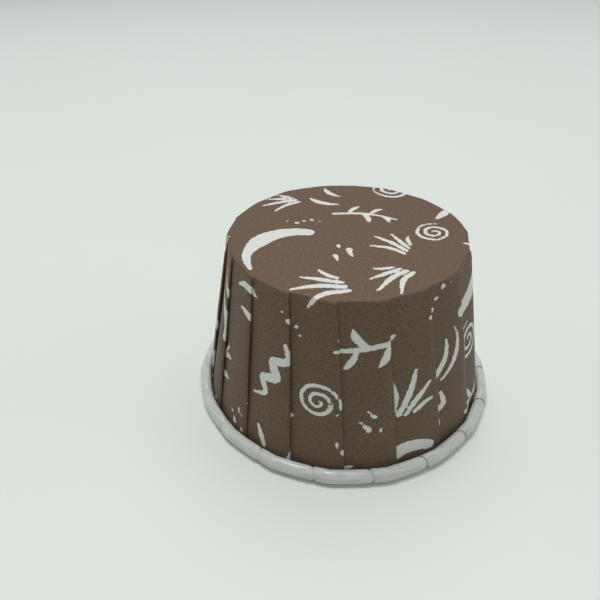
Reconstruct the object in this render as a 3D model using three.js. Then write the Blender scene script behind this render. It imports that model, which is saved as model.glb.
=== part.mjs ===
// A rolled-rim paper baking cup, standing upside down on its rim.
//
// One round paper blank makes the whole cup: a flat base, a tapered wall whose spare
// paper is laid in knife pleats, and a rim curled outwards into a bead. The sheet is
// followed ring by ring from the base to its cut edge, as the forming die follows it.
//
// Millimetres, +Z up. The origin is on the cup's axis, in the plane the rim stands on.
// The front, -Y, looks straight at the middle of one pleat.

import * as THREE from "three";

// Driving sizes of the cup, in millimetres
const BASE_RADIUS = 25;
const RIM_RADIUS = 34.4;
const CUP_HEIGHT = 38.2;
const BASE_CORNER_RADIUS = 0.5;

// The paper, and the air between the three plies of a pleat
const PAPER_THICKNESS = 0.12;
const WALL_PLY_GAP = 0.22;
const BEAD_PLY_GAP = 0.02;

// The pleats
const PLEAT_COUNT = 18;
const PLEAT_START = 2.5; // distance down the wall at which a pleat lies fully folded
const CREASE_WIDTH = 0.1; // width of the pleat where it begins, at the base corner
const PANEL_FLATTENING = 0.5; // 0 leaves the wall round, 1 makes it a plain polygon
const PANEL_CLIMB_START = 0.3; // share of a panel that runs level before it climbs

// The rolled rim
const BEAD_CORE_RADIUS = 0.58; // the hollow left in the middle of the roll
const BEAD_TURN_GAP = 0.12; // between the tucked edge and the turn round it

// How finely the curves are faceted
const CORNER_STEPS = 2;
const CURL_STEPS_PER_TURN = 9;
const PANEL_STEPS = 3;

const PLEAT_PITCH = (2 * Math.PI) / PLEAT_COUNT;
const HALF_PAPER = PAPER_THICKNESS / 2;
const CURL_STEP = (2 * Math.PI) / CURL_STEPS_PER_TURN;
const BEAD_PLY_PITCH = PAPER_THICKNESS + BEAD_PLY_GAP;
const BEAD_STACK = 2 * BEAD_PLY_PITCH + PAPER_THICKNESS; // three plies, pressed together
const BEAD_RADIUS = BEAD_CORE_RADIUS + 2 * BEAD_STACK + BEAD_TURN_GAP;

// The curl of the rim, as circles that the middle ply follows. Its lowest facet is level
// and lies at z = 0.
const curl = {
  radius: RIM_RADIUS - BEAD_RADIUS,
  height: BEAD_RADIUS * Math.cos(CURL_STEP / 2),
  outerTurn: BEAD_RADIUS - BEAD_STACK / 2,
  innerTurn: BEAD_CORE_RADIUS + BEAD_STACK / 2,
};

// The rounded corner between base and wall
const corner = {
  radius: BASE_RADIUS - BASE_CORNER_RADIUS,
  height: CUP_HEIGHT - BASE_CORNER_RADIUS,
  bend: BASE_CORNER_RADIUS - HALF_PAPER,
};

// The wall is the straight line that touches both arcs, so its taper follows from them.
const wallTaper = (() => {
  const across = curl.radius - corner.radius;
  const down = corner.height - curl.height;
  const reach = Math.hypot(across, down);
  return Math.acos((corner.bend + curl.outerTurn) / reach) - Math.atan2(down, across);
})();

// A stop on the profile: a point on the middle ply in the (radius, height) plane, the
// direction in which the printed side faces there, the gap between the plies of a pleat,
// and the angle through which the paper has turned back on itself at each fold.
function stop(point, facing, plyGap, turn) {
  return { point, facing, plyGap, turn };
}

function pointAround(centre, radius, angle) {
  const way = new THREE.Vector2(Math.cos(angle), Math.sin(angle));
  return way.multiplyScalar(radius).add(new THREE.Vector2(centre.radius, centre.height));
}

// From the edge of the flat base round the corner to the top of the wall, where each
// pleat begins as a small upright step
function cornerStops() {
  const stops = [];
  for (let i = 0; i <= CORNER_STEPS; i++) {
    const angle = THREE.MathUtils.lerp(Math.PI / 2, wallTaper, i / CORNER_STEPS);
    const facing = new THREE.Vector2(Math.cos(angle), Math.sin(angle));
    const turn = i < CORNER_STEPS ? 0 : Math.PI / 2;
    stops.push(stop(pointAround(corner, corner.bend, angle), facing, 0, turn));
  }
  return stops;
}

// Down the straight wall. The plies stand apart most at half height, where nothing holds
// them, and are pressed together where the wall enters the roll.
function wallStops(top) {
  const facing = new THREE.Vector2(Math.cos(wallTaper), Math.sin(wallTaper));
  const foot = pointAround(curl, curl.outerTurn, wallTaper + Math.PI);
  const length = top.distanceTo(foot);
  return [PLEAT_START / length, 0.5, 1].map((share) => {
    const loose = Math.sin(Math.PI * share);
    const gap = THREE.MathUtils.lerp(BEAD_PLY_GAP, WALL_PLY_GAP, loose);
    return stop(top.clone().lerp(foot, share), facing, gap, Math.PI);
  });
}

// Round the roll, outwards and up, then in behind the wall for the start of a second turn
function curlStops() {
  const stops = [];
  const overTop = 2.5 * Math.PI;
  const behindWall = 3 * Math.PI;
  const first = 1.5 * Math.PI - 1.5 * CURL_STEP;
  for (let i = 0; i <= CURL_STEPS_PER_TURN; i++) {
    const angle = first + i * CURL_STEP;
    const tucked = THREE.MathUtils.smoothstep(angle, overTop, behindWall);
    const radius = THREE.MathUtils.lerp(curl.outerTurn, curl.innerTurn, tucked);
    const facing = new THREE.Vector2(-Math.cos(angle), -Math.sin(angle));
    stops.push(stop(pointAround(curl, radius, angle), facing, BEAD_PLY_GAP, Math.PI));
  }
  return stops;
}

// The whole profile. Each stop also learns how far it is from the middle of the blank
// along the paper, which sets how much spare paper the pleats take up there.
function cupProfile() {
  const bend = cornerStops();
  const stops = [...bend, ...wallStops(bend.at(-1).point), ...curlStops()];
  let walked = stops[0].point.x;
  stops.forEach((here, i) => {
    if (i > 0) walked += here.point.distanceTo(stops[i - 1].point);
    here.blankRadius = walked;
  });
  return stops;
}

// A ring is laid out flat in (along, lift): along is the distance round the cup from the
// pleat's middle line, and lift the height of the middle of the paper over the middle ply.
//
// These are the points of the pleat itself, from the end of the outermost ply, through
// the fold back into the middle ply and the fold forward again, to the start of the
// innermost ply. The middle of the pleat is at (0, 0).
function pleatPoints(here) {
  const spare = PLEAT_PITCH * (here.blankRadius - here.point.x);
  const width = Math.max(spare / 2, CREASE_WIDTH);
  const bend = (PAPER_THICKNESS + here.plyGap) * Math.SQRT1_2;
  const runs = [bend, bend, width, bend, bend];
  const headings = [1 / 4, 3 / 4, 1, 3 / 4, 1 / 4];
  const facings = [0, 1 / 2, 1, 1, 1 / 2, 0];

  const points = [new THREE.Vector2()];
  runs.forEach((run, i) => {
    const heading = -headings[i] * here.turn;
    const step = new THREE.Vector2(Math.cos(heading), Math.sin(heading));
    points.push(points[i].clone().addScaledVector(step, run));
  });
  const middle = points.at(-1).clone().divideScalar(2);
  return points.map((point, i) => {
    const facing = Math.PI / 2 - facings[i] * here.turn;
    return {
      at: point.sub(middle),
      facing: new THREE.Vector2(Math.cos(facing), Math.sin(facing)),
      width,
    };
  });
}

// One pleat and the panel to its right, up to the next pleat. The panel runs level as the
// innermost ply of its own pleat and stays so for a while, then climbs, and runs level
// again as the outermost ply of the next one.
function pitchPath(here) {
  const pleat = pleatPoints(here);
  const start = pleat.at(-1);
  const end = pleat[0];
  const from = new THREE.Vector2(start.at.x + start.width, start.at.y);
  const to = new THREE.Vector2(end.at.x - end.width, end.at.y);
  to.x += PLEAT_PITCH * here.point.x;
  const path = [...pleat];
  for (let i = 0; i <= PANEL_STEPS; i++) {
    const share = i / PANEL_STEPS;
    const climbed = THREE.MathUtils.smoothstep(share, PANEL_CLIMB_START, 1);
    const along = THREE.MathUtils.lerp(from.x, to.x, share);
    const lift = THREE.MathUtils.lerp(from.y, to.y, climbed);
    path.push({ at: new THREE.Vector2(along, lift), facing: new THREE.Vector2(0, 1) });
  }
  return path;
}

// How far the wall lies inside the full circle, because each panel is pulled nearly flat
// between its two pleats
function flattening(angle, radius) {
  const sagitta = radius * (1 - Math.cos(PLEAT_PITCH / 2));
  const turns = angle / PLEAT_PITCH;
  const fromPanelMiddle = 2 * (turns - Math.floor(turns)) - 1;
  return PANEL_FLATTENING * sagitta * (1 - fromPanelMiddle ** 2);
}

// The ring of points on one side of the paper: side is 1 for the printed side, -1 inside
function paperRing(here, side) {
  const ring = [];
  const path = pitchPath(here);
  for (let pleat = 0; pleat < PLEAT_COUNT; pleat++) {
    for (const p of path) {
      const { x: along, y: lift } = p.at.clone().addScaledVector(p.facing, side * HALF_PAPER);
      const angle = along / here.point.x + pleat * PLEAT_PITCH;
      const radius = here.point.x - flattening(angle, here.point.x) + lift * here.facing.x;
      const height = here.point.y + lift * here.facing.y;
      ring.push(new THREE.Vector3(radius * Math.sin(angle), -radius * Math.cos(angle), height));
    }
  }
  return ring;
}

// Collects rings and joins them with triangles.
class Skin {
  positions = [];
  triangles = [];

  addPoint(point) {
    this.positions.push(...point.toArray());
    return this.positions.length / 3 - 1;
  }

  addRing(ring) {
    return ring.map((point) => this.addPoint(point));
  }

  // A band between two rings, of which "upper" lies above when the band is seen from
  // outside the cup and the rings run from left to right. It faces outside or inside.
  // Both faces of the paper share one diagonal, so that they stay parallel.
  addBand(upper, lower, outside = true) {
    upper.forEach((_, i) => {
      const next = (i + 1) % upper.length;
      this.addTriangle(upper[i], lower[i], lower[next], outside);
      this.addTriangle(upper[i], lower[next], upper[next], outside);
    });
  }

  addTriangle(a, b, c, outside) {
    this.triangles.push(a, ...(outside ? [b, c] : [c, b]));
  }

  // A flat disc inside a ring that runs anticlockwise as seen from its face
  addDisc(ring, centre) {
    const middle = this.addPoint(centre);
    ring.forEach((corner, i) => {
      this.triangles.push(middle, corner, ring[(i + 1) % ring.length]);
    });
  }

  toGeometry() {
    const geometry = new THREE.BufferGeometry();
    geometry.setAttribute("position", new THREE.Float32BufferAttribute(this.positions, 3));
    geometry.setIndex(this.triangles);
    geometry.computeVertexNormals();
    return geometry;
  }
}

// The cup's folded sheet as one closed solid: printed side, inner side and cut edge
function linerGeometry() {
  const profile = cupProfile();
  const skin = new Skin();
  const printed = profile.map((here) => skin.addRing(paperRing(here, 1)));
  const inner = profile.map((here) => skin.addRing(paperRing(here, -1)));

  for (let i = 1; i < profile.length; i++) {
    skin.addBand(printed[i - 1], printed[i]);
    skin.addBand(inner[i - 1], inner[i], false);
  }
  skin.addBand(printed.at(-1), inner.at(-1));
  skin.addDisc(printed[0], new THREE.Vector3(0, 0, CUP_HEIGHT));
  skin.addDisc(
    [...inner[0]].reverse(),
    new THREE.Vector3(0, 0, CUP_HEIGHT - PAPER_THICKNESS),
  );
  return skin.toGeometry();
}

function printedPaper() {
  return new THREE.MeshStandardMaterial({
    name: "printed_paper",
    color: "#6f5d50",
    roughness: 0.75,
    metalness: 0,
    side: THREE.DoubleSide,
  });
}

const liner = new THREE.Mesh(linerGeometry(), printedPaper());
liner.name = "liner";

const cup = new THREE.Group();
cup.add(liner);

export default cup;
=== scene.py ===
"""A brown printed baking cup with a rolled rim, upside down on a pale table.

The cup is one round paper blank. This script makes it the same way: a flat grid is
bent, row by row, from the middle of the base down the pleated wall and into the rolled
rim. Every point remembers where it lay on the flat blank, and the print is drawn there,
so that the pleats cut it and hide parts of it as they do on the real cup.

The cup's lengths are in millimetres until bent_sheet() sets its points, in metres. The
table, the camera and the lights are in metres.
"""

import math
import random

import bmesh
import bpy
import numpy as np
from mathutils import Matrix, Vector


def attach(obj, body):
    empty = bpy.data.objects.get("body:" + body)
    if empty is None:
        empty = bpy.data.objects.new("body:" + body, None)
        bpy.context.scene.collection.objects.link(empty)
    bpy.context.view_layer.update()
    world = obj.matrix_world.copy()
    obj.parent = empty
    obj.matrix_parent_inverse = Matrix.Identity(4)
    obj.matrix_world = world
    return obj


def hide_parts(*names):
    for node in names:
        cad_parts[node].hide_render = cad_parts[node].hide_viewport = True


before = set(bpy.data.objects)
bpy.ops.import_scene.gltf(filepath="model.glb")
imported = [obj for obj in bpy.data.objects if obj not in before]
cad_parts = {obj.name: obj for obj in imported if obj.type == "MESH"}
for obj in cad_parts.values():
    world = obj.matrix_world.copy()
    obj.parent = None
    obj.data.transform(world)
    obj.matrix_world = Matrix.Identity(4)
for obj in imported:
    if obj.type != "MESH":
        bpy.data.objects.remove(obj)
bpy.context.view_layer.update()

MM = 0.001
QUARTER_TURN = math.pi / 2

# The cup's sizes

BASE_RADIUS = 25.0
RIM_RADIUS = 34.4
CUP_HEIGHT = 38.2
BASE_CORNER_RADIUS = 0.5
PAPER = 0.12  # thickness
WALL_PLY_GAP = 0.22  # most air between the plies of a pleat, halfway down the wall
BEAD_PLY_GAP = 0.02  # least air between them, in the roll
PLEAT_COUNT = 18
PLEAT_START = 2.5  # length of wall over which the pleats come to fold right over
CREASE_WIDTH = 0.1  # least width of a pleat
NARROW_PITCH = 3.0  # nearer the base's middle, where a pitch is less, its pleat narrows too
LEAST_RADIUS = 0.01  # stands for the radius in the base's middle
PANEL_FLATTENING = 0.5  # 0 for a round panel, 1 for a straight one
BEAD_CORE_RADIUS = 0.58  # the hollow in the roll
BEAD_TURN_GAP = 0.12  # between the tucked edge and the turn round it
TUCK_START = 2.5 * math.pi  # over the roll's top, from where the paper tucks in
CUT_EDGE = 2 * math.pi + math.radians(210)  # where the paper ends, around the roll
LATE_CLIMB = 0.8  # in the roll the free panel stays level for this share of its width

# The cup's unevenness, as waves around it: (size, waves in a round, start in radians)
TURNING_WAVES = ((0.006, 2, 0.8), (0.004, 5, 2.0))  # in radians, most at the rim
BASE_WAVES = ((0.16, 3, 1.9), (0.12, 7, 0.4), (0.08, 13, 2.2))  # in mm
RIM_WAVES = ((0.05, 4, 1.0),)  # in mm
WALL_WAVE, WALL_WAVES_ROUND = 0.10, 11  # in mm, halfway down the wall
WALL_WAVE_SLANT = 4.0  # radians that the wall's waves turn by from the base to the rim

# Rows of points on the base, corner, wall and roll, and steps across a fold, a ply, each
# level end of a panel and its climb. The printed face is fine where the print's edges
# need it, and the other face is fine around the roll, where it shows.
PRINTED_ROWS, PRINTED_STEPS = (50, 4, 90, 14), (2, 3, 4, 12)
INNER_ROWS, INNER_STEPS = (2, 4, 12, 28), (2, 3, 2, 12)
MERGE_DISTANCE = 1e-8  # in metres

PLEAT_PITCH = 2 * math.pi / PLEAT_COUNT
BEAD_STACK = 3 * PAPER + 2 * BEAD_PLY_GAP
BEAD_RADIUS = BEAD_CORE_RADIUS + 2 * BEAD_STACK + BEAD_TURN_GAP
OUTER_TURN = BEAD_RADIUS - BEAD_STACK / 2
INNER_TURN = BEAD_CORE_RADIUS + BEAD_STACK / 2
CURL_CENTRE = Vector((RIM_RADIUS - BEAD_RADIUS, BEAD_RADIUS))
CORNER_CENTRE = Vector((BASE_RADIUS - BASE_CORNER_RADIUS, CUP_HEIGHT - BASE_CORNER_RADIUS))
CORNER_BEND = BASE_CORNER_RADIUS - PAPER / 2


def lerp(a, b, share):
    return a + (b - a) * share


def smoothstep(share):
    share = min(max(share, 0.0), 1.0)
    return share * share * (3 - 2 * share)


def wall_taper():
    """The lean of the wall, which touches both the corner's arc and the roll's."""
    run = CURL_CENTRE - CORNER_CENTRE
    reach = run.length
    return math.acos((CORNER_BEND + OUTER_TURN) / reach) - math.atan2(-run.y, run.x)


TAPER = wall_taper()


# The cup's profile


class Stop:
    """A place on the profile, from the middle of the base to the cut edge in the roll."""

    def __init__(self, point, facing, gap=0.0, turn=0.0, climb_start=0.0):
        self.point = point  # middle ply, as (radius, height)
        self.facing = Vector((math.cos(facing), math.sin(facing)))  # printed side
        self.gap = gap  # air between the plies of a pleat
        self.turn = turn  # how far the paper turns back at each fold, in radians
        self.climb_start = climb_start  # share of the free panel that stays level
        self.blank_radius = 0.0  # distance from the blank's middle, set by profile()


def around(centre, radius, angle):
    """A point of a circle in the profile's plane."""
    return centre + radius * Vector((math.cos(angle), math.sin(angle)))


def profile(base_rows, corner_rows, wall_rows, curl_rows):
    """The profile's stops, with the given number of rows on each stretch."""
    stops = []
    top = CUP_HEIGHT - PAPER / 2
    for i in range(base_rows):
        stops.append(Stop(Vector((CORNER_CENTRE.x * i / base_rows, top)), QUARTER_TURN))

    for i in range(corner_rows + 1):
        angle = lerp(QUARTER_TURN, TAPER, i / corner_rows)
        turn = QUARTER_TURN * smoothstep(2 * i / corner_rows - 1)
        stops.append(Stop(around(CORNER_CENTRE, CORNER_BEND, angle), angle, 0.0, turn))

    head = stops[-1].point
    foot = around(CURL_CENTRE, OUTER_TURN, TAPER + math.pi)
    length = (foot - head).length
    for i in range(1, wall_rows + 1):
        share = i / wall_rows
        gap = lerp(BEAD_PLY_GAP, WALL_PLY_GAP, math.sin(math.pi * share))
        folded = smoothstep(share * length / PLEAT_START)
        turn = lerp(QUARTER_TURN, math.pi, folded)
        stops.append(Stop(head.lerp(foot, share), TAPER, gap * folded, turn))

    first = TAPER + math.pi
    for i in range(1, curl_rows + 1):
        angle = lerp(first, CUT_EDGE, i / curl_rows)
        tucked = smoothstep((angle - TUCK_START) / QUARTER_TURN)
        point = around(CURL_CENTRE, lerp(OUTER_TURN, INNER_TURN, tucked), angle)
        late = LATE_CLIMB * smoothstep((angle - first) / QUARTER_TURN)
        stops.append(Stop(point, angle + math.pi, BEAD_PLY_GAP, math.pi, late))

    for before, after in zip(stops, stops[1:]):
        after.blank_radius = before.blank_radius + (after.point - before.point).length
    return stops


# One pleat and its panel, flat


def split(start, end, parts):
    """Points from start, which is left out, to end."""
    return [start.lerp(end, i / parts) for i in range(1, parts + 1)]


def pitch_path(stop, steps):
    """One pleat and the panel to its right as points (along, lift, heading, share).

    The paper comes from the left as the outermost ply, folds back as the middle ply,
    folds forward as the innermost one, and then climbs along the panel until it lies
    outermost on the next pleat. Share is the way along the paper from the middle of the
    pleat to the point, as a share of the whole way to the next pleat.
    """
    radius = max(stop.point.x, LEAST_RADIUS)
    bend_steps, ply_steps, level_steps, climb_steps = steps
    spare = PLEAT_PITCH * (stop.blank_radius - radius)
    shrink = min(1.0, PLEAT_PITCH * radius / NARROW_PITCH)
    width = max(spare / 2, CREASE_WIDTH) * shrink
    bend = (PAPER + stop.gap) * math.pi / 2 * shrink  # half a circle from ply to ply

    at = Vector((0.0, 0.0))
    points = [(at.copy(), 0.0)]

    def run(length, parts, heading_from, heading_to):
        """Walks on, while the heading turns evenly from one value to the other."""
        nonlocal at
        for i in range(parts):
            middle = lerp(heading_from, heading_to, (i + 0.5) / parts)
            end = lerp(heading_from, heading_to, (i + 1) / parts)
            at = at + length / parts * Vector((math.cos(middle), -math.sin(middle)))
            points.append((at.copy(), end))

    run(bend, bend_steps, 0.0, stop.turn)
    run(width, ply_steps, stop.turn, stop.turn)
    run(bend, bend_steps, stop.turn, 0.0)
    centre = at / 2
    points = [(place - centre, heading) for place, heading in points]

    start = points[-1][0]
    end = points[0][0] + Vector((PLEAT_PITCH * radius, 0.0))
    level = Vector((width, 0.0))
    foot, top = start + level, end - level
    panel = split(start, foot, level_steps)
    for i in range(1, climb_steps + 1):
        share = i / climb_steps
        climbed = smoothstep((share - stop.climb_start) / (1 - stop.climb_start))
        panel.append(Vector((lerp(foot.x, top.x, share), lerp(foot.y, top.y, climbed))))
    panel += split(top, end, level_steps)[:-1]
    points += [(place, 0.0) for place in panel]

    walked = [0.0]
    places = [place for place, _ in points] + [end]
    for before, after in zip(places, places[1:]):
        walked.append(walked[-1] + (after - before).length)
    total = walked[-1]
    middle = walked[bend_steps + ply_steps // 2]
    return [
        (place.x, place.y, heading, (done - middle) / total)
        for (place, heading), done in zip(points, walked)
    ]


def flattening(angle, radius):
    """How far a panel, pulled nearly flat between two pleats, lies inside the circle."""
    sagitta = radius * (1 - math.cos(PLEAT_PITCH / 2))
    turns = angle / PLEAT_PITCH
    from_middle = 2 * (turns - math.floor(turns)) - 1
    return PANEL_FLATTENING * sagitta * (1 - from_middle**2)


def waves(kinds, angle):
    """The sum at an angle of waves around the cup: (size, waves in a round, start)."""
    return sum(size * math.sin(count * angle + start) for size, count, start in kinds)


def hand_made(angle, height):
    """Small departures from the round: (turned by in radians, outwards in mm)."""
    low = smoothstep(1 - height / CUP_HEIGHT)
    wall_waves = [(WALL_WAVE, WALL_WAVES_ROUND, WALL_WAVE_SLANT * low)]
    outwards = waves(BASE_WAVES, angle) + waves(wall_waves, angle) * math.sin(math.pi * low)
    outwards = outwards * (1 - low) + waves(RIM_WAVES, angle) * low
    return waves(TURNING_WAVES, angle) * low, outwards


def bent_sheet(stops, steps, side):
    """One face of the paper as a bmesh: side is 1 for the printed face, -1 for inside.

    A flat grid has a row for each stop and a column for each point of each pitch. Each
    point keeps its place on the flat blank, in mm, as the attribute "blank".
    """
    bend_steps, ply_steps, level_steps, climb_steps = steps
    per_pitch = 2 * bend_steps + ply_steps + 2 * level_steps + climb_steps
    columns = per_pitch * PLEAT_COUNT
    rows = len(stops) - 1
    paths = [pitch_path(stop, steps) for stop in stops]

    sheet = bmesh.new()
    blank = sheet.verts.layers.float_vector.new("blank")
    bmesh.ops.create_grid(sheet, x_segments=columns, y_segments=rows, size=1.0)
    for vert in sheet.verts:
        column = round((vert.co.x + 1) / 2 * columns)
        stop_index = round((1 - vert.co.y) / 2 * rows)
        stop = stops[stop_index]
        pleat, place = divmod(column, per_pitch)
        along, lift, heading, share = paths[stop_index][place]
        along += side * PAPER / 2 * math.sin(heading)
        lift += side * PAPER / 2 * math.cos(heading)
        if stop_index == 0:
            angle, radius = 0.0, 0.0
        else:
            angle = along / stop.point.x + pleat * PLEAT_PITCH
            radius = stop.point.x - flattening(angle, stop.point.x) + lift * stop.facing.x
        height = stop.point.y + lift * stop.facing.y
        turned, outwards = hand_made(angle, height)
        angle += turned
        radius += outwards * min(1.0, radius / BASE_RADIUS)
        vert.co = MM * Vector((radius * math.sin(angle), -radius * math.cos(angle), height))
        blank_angle = (pleat + share) * PLEAT_PITCH
        vert[blank] = stop.blank_radius * Vector(
            (math.sin(blank_angle), -math.cos(blank_angle), 0.0)
        )
    # The grid's first and last columns meet here, and its first row becomes one point.
    bmesh.ops.remove_doubles(sheet, verts=sheet.verts, dist=MERGE_DISTANCE)
    return sheet


def join_faces(printed, inner):
    """Both faces of the paper in one bmesh, joined along the cut edge."""
    for face in inner.faces:
        face.material_index = 1
    bmesh.ops.reverse_faces(inner, faces=inner.faces)
    scratch = bpy.data.meshes.new("inner face")
    inner.to_mesh(scratch)
    printed.from_mesh(scratch)
    bpy.data.meshes.remove(scratch)
    edges = [edge for edge in printed.edges if edge.is_boundary]
    strip = bmesh.ops.bridge_loops(printed, edges=edges)
    for face in strip["faces"]:
        face.material_index = 1
    bmesh.ops.recalc_face_normals(printed, faces=printed.faces)
    return printed


# The print


def arc(start, end, radius=1.0, shrink=0.0, centre=(0.0, 0.0), steps=12):
    """Points of part of a circle, or of a spiral if it shrinks, with angles in degrees."""
    points = []
    for i in range(steps + 1):
        angle = math.radians(lerp(start, end, i / steps))
        reach = radius - shrink * i / steps
        points.append((centre[0] + reach * math.cos(angle), centre[1] + reach * math.sin(angle)))
    return points


def leaf(x, y, turned, length, width):
    """A leaf: one stroke that starts thin, swells and ends thin."""
    c, s = math.cos(math.radians(turned)), math.sin(math.radians(turned))
    bow = 0.12 * length
    spine = [(0.0, 0.0), (0.3 * length, bow), (0.65 * length, bow), (length, 0.0)]
    points = [(x + c * px - s * py, y + s * px + c * py) for px, py in spine]
    return points, [0.3 * width, 0.9 * width, width, 0.15 * width]


# Brush marks: each is a list of strokes, and a stroke is its points and its half widths
# from start to end. A mark reaches about 1 from its middle.
MARKS = {
    "swoosh": [(arc(150, 20, 1.25, centre=(0.1, -0.75)), [0.05, 0.12, 0.26, 0.22, 0.17])],
    "sprig": [
        ([(-1.05, -0.4), (-0.4, -0.12), (0.3, 0.0), (1.05, -0.1)], [0.07, 0.07, 0.04]),
        leaf(-0.55, -0.2, 75, 0.7, 0.09),
        leaf(-0.2, -0.06, -50, 0.72, 0.1),
        leaf(0.15, 0.0, 62, 0.62, 0.09),
        leaf(0.5, -0.02, -45, 0.55, 0.08),
    ],
    "spiral": [(arc(0, 790, 0.95, shrink=0.85, steps=24), [0.04, 0.09, 0.08, 0.09, 0.06])],
    "ripples": [
        (arc(140, 50, 1.35, centre=(0.0, -0.9)), [0.03, 0.1, 0.05]),
        (arc(125, 40, 1.1, centre=(0.1, -1.1)), [0.05, 0.11, 0.14]),
    ],
    "grass": [
        ([(-0.25, -0.9), (-0.35, -0.2), (-0.85, 0.5)], [0.09, 0.11, 0.05]),
        ([(0.0, -0.8), (0.05, 0.0), (-0.1, 0.95)], [0.1, 0.12, 0.05]),
        ([(0.25, -0.75), (0.4, -0.1), (0.6, 0.6)], [0.07, 0.11, 0.05]),
        ([(0.5, -0.6), (0.75, -0.2), (1.0, 0.0)], [0.07, 0.09, 0.05]),
    ],
    "leaves": [leaf(-0.9, -0.3, 40, 1.5, 0.16), leaf(-0.15, -0.75, 15, 1.2, 0.14)],
    "drops": [
        ([(-0.5, 0.5), (-0.4, 0.2), (-0.35, -0.3)], [0.05, 0.12, 0.19]),
        ([(0.35, 0.9), (0.4, 0.6), (0.45, 0.35)], [0.04, 0.1, 0.15]),
        ([(0.2, -0.6), (0.24, -0.72)], [0.11, 0.13]),
    ],
    "dots": [
        ([(x, 0.15 * math.sin(4 * x)), (x + 0.04, 0.15 * math.sin(4 * x))], [r, r])
        for x, r in ((-0.9, 0.06), (-0.5, 0.1), (-0.05, 0.08), (0.35, 0.12), (0.85, 0.07))
    ],
    "dash": [([(-0.8, -0.1), (0.0, 0.05), (0.8, 0.2)], [0.16, 0.26, 0.12])],
    "stream": [
        (
            [(x / 3, 0.14 * math.sin(math.pi * (x + 0.5))) for x in range(-3, 4)],
            [0.05, 0.11, 0.13, 0.09, 0.04],
        )
    ],
}

# How far each mark reaches from its middle, in mm
MARK_SIZES = {
    "swoosh": 7.2,
    "sprig": 7.4,
    "spiral": 4.8,
    "ripples": 6.8,
    "grass": 5.2,
    "leaves": 5.0,
    "drops": 3.6,
    "dots": 4.6,
    "dash": 3.2,
    "stream": 7.0,
}

LAYOUT_SEED = 30
PRINTED_RADIUS = 64.0  # the part of the blank, in mm, that gets marks
MARKS_OF_A_KIND = 7
MARK_SIZE_RANGE = (0.85, 1.15)  # as shares of a mark's size
PLACES_TRIED = 40
MARK_REACH = 1.6  # in sizes of a mark, past the ends of all its strokes
FAR_FROM_PRINT = 3.0  # in mm, for points that no mark is near


def mark_layout():
    """(name, x, y, turned, size) of each mark on the blank, the largest placed first.

    Each mark takes the roomiest of some random places, so the marks keep apart.
    """
    rng = random.Random(LAYOUT_SEED)
    placed = []
    for name in sorted(MARKS, key=MARK_SIZES.get, reverse=True):
        for _ in range(MARKS_OF_A_KIND):
            size = MARK_SIZES[name] * rng.uniform(*MARK_SIZE_RANGE)
            room, x, y = -math.inf, 0.0, 0.0
            for _ in range(PLACES_TRIED):
                reach = PRINTED_RADIUS * math.sqrt(rng.random())
                angle = rng.uniform(0, 2 * math.pi)
                spot = (reach * math.sin(angle), -reach * math.cos(angle))
                here = min((math.dist(spot, old[1:3]) - size - old[4] for old in placed), default=0)
                if here > room:
                    room, (x, y) = here, spot
            placed.append((name, x, y, rng.uniform(0, 2 * math.pi), size))
    return placed


def smooth_line(points, steps=6):
    """More points between the given ones, on a curve that passes through them all."""
    p = np.array([points[0], *points, points[-1]], dtype=float)
    line = []
    for before, start, end, after in zip(p, p[1:], p[2:], p[3:]):
        for t in np.arange(steps) / steps:
            bend = (2 * before - 5 * start + 4 * end - after) * t**2
            bend += (3 * (start - end) + after - before) * t**3
            line.append(start + ((end - before) * t + bend) / 2)
    return np.array([*line, p[-1]])


def stroke_distance(spots, points, widths):
    """Distance from each spot to a stroke's edge, negative inside the stroke."""
    points = smooth_line(points)
    steps = np.linalg.norm(np.diff(points, axis=0), axis=1)
    shares = np.concatenate([[0.0], np.cumsum(steps)]) / steps.sum()
    radii = np.interp(shares, np.linspace(0, 1, len(widths)), widths)
    best = np.full(len(spots), np.inf)
    for a, b, ra, rb in zip(points, points[1:], radii, radii[1:]):
        leg = b - a
        share = np.clip((spots - a) @ leg / (leg @ leg), 0.0, 1.0)
        away = np.linalg.norm(spots - a - share[:, None] * leg, axis=1)
        best = np.minimum(best, away - ra - (rb - ra) * share)
    return best


def draw_print(mesh):
    """Writes each point's distance in mm to the nearest mark as the attribute "print"."""
    flat = np.empty(3 * len(mesh.vertices))
    mesh.attributes["blank"].data.foreach_get("vector", flat)
    spots = flat.reshape(-1, 3)[:, :2]
    distance = np.full(len(spots), FAR_FROM_PRINT)
    for name, x, y, turned, size in mark_layout():
        reach = MARK_REACH * size + FAR_FROM_PRINT
        near = np.hypot(spots[:, 0] - x, spots[:, 1] - y) < reach
        local = (spots[near] - (x, y)) / size
        c, s = math.cos(turned), math.sin(turned)
        local = local @ np.array([[c, -s], [s, c]])
        for points, widths in MARKS[name]:
            away = size * stroke_distance(local, points, widths)
            distance[near] = np.minimum(distance[near], away)
    layer = mesh.attributes.new("print", "FLOAT", "POINT")
    layer.data.foreach_set("value", distance)


# Materials

PAPER_IOR = 1.45
FIBROUS = {"Detail": 3.0, "Roughness": 0.6}  # noise with finer grain inside

# Widths of the patterns, in mm. Single fibres are too fine to show in the render, so the
# ink's mottling over them is drawn as flecks as coarse as it needs to show.
FLECKS = 0.4
CLOUDS = 1.5  # thicker and thinner paper under the marks
BRISTLES = 0.9  # notches in the edge of a mark
SHEEN_PATCHES = 1.2
CREASES = 0.3
CREASE_RADIAN = 5.0  # a radian of the rim counts as this, so creases are 4 mm long
TABLE_CAST = 125.0

# Other measures, in mm
RAGGED = 0.16  # how far the edge of a mark strays
PRINT_EDGE = 0.04  # half the width over which ink turns to bare paper
FLECK_RELIEF = 0.011
ROLL_START = 63.0  # on the blank, from the middle to the rolled rim
ROLL_FADE = 2.0  # width of wall over which the creases start
CREASE_RELIEF = -0.03  # inwards

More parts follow.
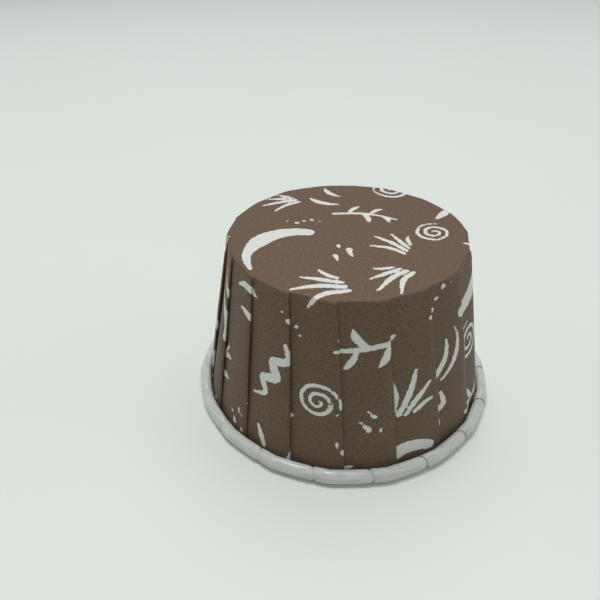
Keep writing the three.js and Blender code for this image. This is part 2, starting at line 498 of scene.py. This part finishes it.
# Roughnesses
MARK_ROUGHNESS, INK_ROUGHNESS = 0.5, 0.62
GLOSSIEST, LEAST_GLOSSY = 0.16, 0.26  # the bare side
TABLE_ROUGHNESS = 0.6


def linear(colour):
    """An sRGB hex colour as Blender's linear RGBA."""
    parts = [int(colour[i : i + 2], 16) / 255 for i in (1, 3, 5)]
    return tuple(p / 12.92 if p <= 0.04045 else ((p + 0.055) / 1.055) ** 2.4 for p in parts) + (1,)


def add(tree, kind, values=None, links=None, **settings):
    """A node with its settings, its inputs' values and the sockets linked to them."""
    node = tree.nodes.new(kind)
    for name, value in settings.items():
        setattr(node, name, value)
    for key, value in (values or {}).items():
        node.inputs[key].default_value = value
    for key, socket in (links or {}).items():
        tree.links.new(socket, node.inputs[key])
    return node


def new_material(name):
    """A material with an empty node tree."""
    material = bpy.data.materials.new(name)
    material.use_nodes = True
    material.node_tree.nodes.clear()
    return material, material.node_tree


def finish_paper(tree, colour, roughness, height, relief_mm):
    """Ends a paper material: its colour, its gloss and its relief."""
    depth = {"Strength": 1.0, "Distance": relief_mm * MM}
    relief = add(tree, "ShaderNodeBump", depth, {"Height": height})
    shader = add(
        tree,
        "ShaderNodeBsdfPrincipled",
        {"IOR": PAPER_IOR},
        {"Base Color": colour, "Roughness": roughness, "Normal": relief.outputs[0]},
    )
    add(tree, "ShaderNodeOutputMaterial", links={"Surface": shader.outputs["BSDF"]})


def printed_greaseproof():
    """Greaseproof paper printed brown, with bare paper left as brush marks.

    The ink lies matt and slightly mottled on the fibres, and the marks have a little
    more sheen. Their edges are a little ragged, as dry brush strokes are.
    """
    material, tree = new_material("greaseproof paper, printed brown")
    blank = {"Vector": add(tree, "ShaderNodeAttribute", attribute_name="blank").outputs["Vector"]}
    flecks = add(tree, "ShaderNodeTexNoise", {"Scale": 1 / FLECKS, **FIBROUS}, blank).outputs[0]
    clouds = add(tree, "ShaderNodeTexNoise", {"Scale": 1 / CLOUDS, **FIBROUS}, blank).outputs[0]
    bristles = add(tree, "ShaderNodeTexNoise", {"Scale": 1 / BRISTLES, **FIBROUS}, blank).outputs[0]

    # Noise seldom leaves 0.3 to 0.7. A spread inside that gives full contrast.
    spread = {"From Min": 0.37, "From Max": 0.63}
    mottle = add(tree, "ShaderNodeMapRange", spread, {"Value": flecks}).outputs[0]
    shades = {"A": linear("#5A4739"), "B": linear("#745F4A")}
    ink = add(tree, "ShaderNodeMix", shades, {"Factor": mottle}, data_type="RGBA")
    shades = {"A": linear("#DADCD6"), "B": linear("#E4E6E0")}
    bare = add(tree, "ShaderNodeMix", shades, {"Factor": clouds}, data_type="RGBA")

    distance = add(tree, "ShaderNodeAttribute", attribute_name="print").outputs["Fac"]
    spread = {"From Min": 0.25, "From Max": 0.75, "To Min": -RAGGED, "To Max": RAGGED}
    ragged = add(tree, "ShaderNodeMapRange", spread, {"Value": bristles}).outputs[0]
    edge = add(tree, "ShaderNodeMath", links={0: distance, 1: ragged}, operation="ADD")
    spread = {"From Min": -PRINT_EDGE, "From Max": PRINT_EDGE}
    inked = add(tree, "ShaderNodeMapRange", spread, {"Value": edge.outputs[0]}).outputs[0]
    links = {"Factor": inked, "A": bare.outputs["Result"], "B": ink.outputs["Result"]}
    colour = add(tree, "ShaderNodeMix", links=links, data_type="RGBA").outputs["Result"]
    spread = {"To Min": MARK_ROUGHNESS, "To Max": INK_ROUGHNESS}
    roughness = add(tree, "ShaderNodeMapRange", spread, {"Value": inked}).outputs[0]
    finish_paper(tree, colour, roughness, flecks, FLECK_RELIEF)
    return material


def bare_greaseproof():
    """The same paper's unprinted side: white, and calendered to a soft gloss.

    Rolling the rim creased it finely around the cup, so there its highlight breaks into
    streaks, and the creases are painted a little greyer, as painted shade in them.
    """
    material, tree = new_material("greaseproof paper, bare")
    blank = {"Vector": add(tree, "ShaderNodeAttribute", attribute_name="blank").outputs["Vector"]}
    scale = {"Scale": 1 / SHEEN_PATCHES, **FIBROUS}
    patches = add(tree, "ShaderNodeTexNoise", scale, blank).outputs[0]
    spread = {"From Min": 0.3, "From Max": 0.7, "To Min": GLOSSIEST, "To Max": LEAST_GLOSSY}
    roughness = add(tree, "ShaderNodeMapRange", spread, {"Value": patches}).outputs[0]

    # The creases are noise over (direction from the middle, distance from it), drawn out
    # around the rim because a radian counts for less than it measures there.
    outward = add(tree, "ShaderNodeVectorMath", links={0: blank["Vector"]}, operation="NORMALIZE")
    reach = add(tree, "ShaderNodeVectorMath", links={0: blank["Vector"]}, operation="LENGTH")
    across = add(tree, "ShaderNodeCombineXYZ", links={"Z": reach.outputs["Value"]})
    drawn = add(
        tree,
        "ShaderNodeVectorMath",
        {1: (CREASE_RADIAN, CREASE_RADIAN, CREASE_RADIAN)},
        {0: outward.outputs["Vector"], 2: across.outputs["Vector"]},
        operation="MULTIPLY_ADD",
    )
    scale, links = {"Scale": 1 / CREASES, **FIBROUS}, {"Vector": drawn.outputs["Vector"]}
    streaks = add(tree, "ShaderNodeTexNoise", scale, links).outputs[0]
    spread = {"From Min": 0.55, "From Max": 0.35}
    depth = add(tree, "ShaderNodeMapRange", spread, {"Value": streaks}).outputs[0]
    spread = {"From Min": ROLL_START - ROLL_FADE, "From Max": ROLL_START}
    rolled = add(tree, "ShaderNodeMapRange", spread, {"Value": reach.outputs["Value"]})
    links = {0: depth, 1: rolled.outputs[0]}
    crease_depth_and_shade = add(tree, "ShaderNodeMath", links=links, operation="MULTIPLY").outputs[0]

    # Painted shade: the deeper a crease, the greyer the paper is painted there.
    shades = {"A": linear("#D3D7D2"), "B": linear("#C1C6C0")}
    colour = add(tree, "ShaderNodeMix", shades, {"Factor": crease_depth_and_shade}, data_type="RGBA")
    finish_paper(tree, colour.outputs["Result"], roughness, crease_depth_and_shade, CREASE_RELIEF)
    return material


def table_top():
    """A matt laminate table, so pale and even that only the cup's shadow shows on it."""
    material, tree = new_material("laminate, pale matt")
    place = {"Vector": add(tree, "ShaderNodeTexCoord").outputs["Object"]}
    cast = add(tree, "ShaderNodeTexNoise", {"Scale": 1 / (TABLE_CAST * MM)}, place).outputs[0]
    shades = {"A": linear("#E2E9E3"), "B": linear("#E6ECE7")}
    colour = add(tree, "ShaderNodeMix", shades, {"Factor": cast}, data_type="RGBA")
    links = {"Base Color": colour.outputs["Result"]}
    shader = add(tree, "ShaderNodeBsdfPrincipled", {"Roughness": TABLE_ROUGHNESS}, links)
    add(tree, "ShaderNodeOutputMaterial", links={"Surface": shader.outputs["BSDF"]})
    return material


# The pieces

TABLE_REACH = 1.2  # from its middle to each edge


def place(bm, name, materials):
    """A finished bmesh as an object at the origin."""
    mesh = bpy.data.meshes.new(name)
    bm.to_mesh(mesh)
    bm.free()
    for material in materials:
        mesh.materials.append(material)
    mesh.shade_smooth()
    piece = bpy.data.objects.new(name, mesh)
    bpy.context.scene.collection.objects.link(piece)
    return piece


def make_cup():
    """The cup, with its printed face outside and its bare one inside and on the rim."""
    printed = bent_sheet(profile(*PRINTED_ROWS), PRINTED_STEPS, 1)
    inner = bent_sheet(profile(*INNER_ROWS), INNER_STEPS, -1)
    sheet = join_faces(printed, inner)
    cup = place(sheet, "liner_paper", [printed_greaseproof(), bare_greaseproof()])
    draw_print(cup.data)
    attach(cup, "root")
    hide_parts("liner")


def make_table():
    """The table that the cup stands on, which isn't part of it."""
    table = bmesh.new()
    bmesh.ops.create_grid(table, x_segments=1, y_segments=1, size=TABLE_REACH)
    piece = place(table, "table", [table_top()])


# Camera and light

LIGHT_AIM = Vector((0.0, 0.0, 0.02))  # about the middle of the cup


def make_camera():
    """The photo's viewpoint, fitted to the cup's outlines in it."""
    camera = bpy.data.cameras.new("camera")
    camera.sensor_width = 36.0
    camera.lens = 32.99
    camera.clip_start = 0.01
    holder = bpy.data.objects.new("camera", camera)
    holder.location = (0.00511, -0.10203, 0.09230)
    holder.rotation_euler = [math.radians(turn) for turn in (55.05, 0.650, 8.019)]
    bpy.context.scene.collection.objects.link(holder)
    bpy.context.scene.camera = holder


def make_light(name, place, size, power, colour):
    """A round lamp aimed at the cup: size is its width, and power is in watts."""
    lamp = bpy.data.lights.new(name, "AREA")
    lamp.shape = "DISK"
    lamp.size = size
    lamp.energy = power
    lamp.color = linear(colour)[:3]
    holder = bpy.data.objects.new(name, lamp)
    holder.location = place
    holder.rotation_euler = (LIGHT_AIM - Vector(place)).to_track_quat("-Z", "Y").to_euler()
    bpy.context.scene.collection.objects.link(holder)


def make_lights():
    """A bright room: pale walls past the table, soft light from above and the sides.

    The wide ceiling light leaves a faint shadow in front of the cup, the ceiling lamp puts
    the highlight on the rim, and the window and side walls lighten the pleats.
    """
    world = bpy.data.worlds.new("room")
    world.use_nodes = True
    tree = world.node_tree
    tree.nodes.clear()
    glow = add(tree, "ShaderNodeBackground", {"Color": linear("#F4F8F6"), "Strength": 0.2})
    wall = add(tree, "ShaderNodeBackground", {"Color": linear("#DAE0DB"), "Strength": 1.0})
    seen = add(tree, "ShaderNodeLightPath").outputs["Is Camera Ray"]
    links = {0: seen, 1: glow.outputs[0], 2: wall.outputs[0]}
    both = add(tree, "ShaderNodeMixShader", links=links)
    add(tree, "ShaderNodeOutputWorld", links={"Surface": both.outputs[0]})
    bpy.context.scene.world = world
    make_light("ceiling", (0.07, 0.57, 1.62), 1.8, 13.6, "#FFFFFF")
    make_light("ceiling lamp", (-0.2, 0.14, 1.2), 0.3, 4.2, "#FFFFFF")
    make_light("window", (0.15, -0.9, 0.75), 0.8, 1.5, "#FFF8EE")
    make_light("left wall", (-0.9, 0.1, 0.5), 0.6, 0.75, "#FFFFFF")
    make_light("right wall", (0.9, 0.1, 0.5), 0.6, 0.85, "#FFFFFF")


# The default view transform would turn the pale table grey.
bpy.context.scene.view_settings.view_transform = "Standard"
make_camera()
make_lights()
make_table()
make_cup()
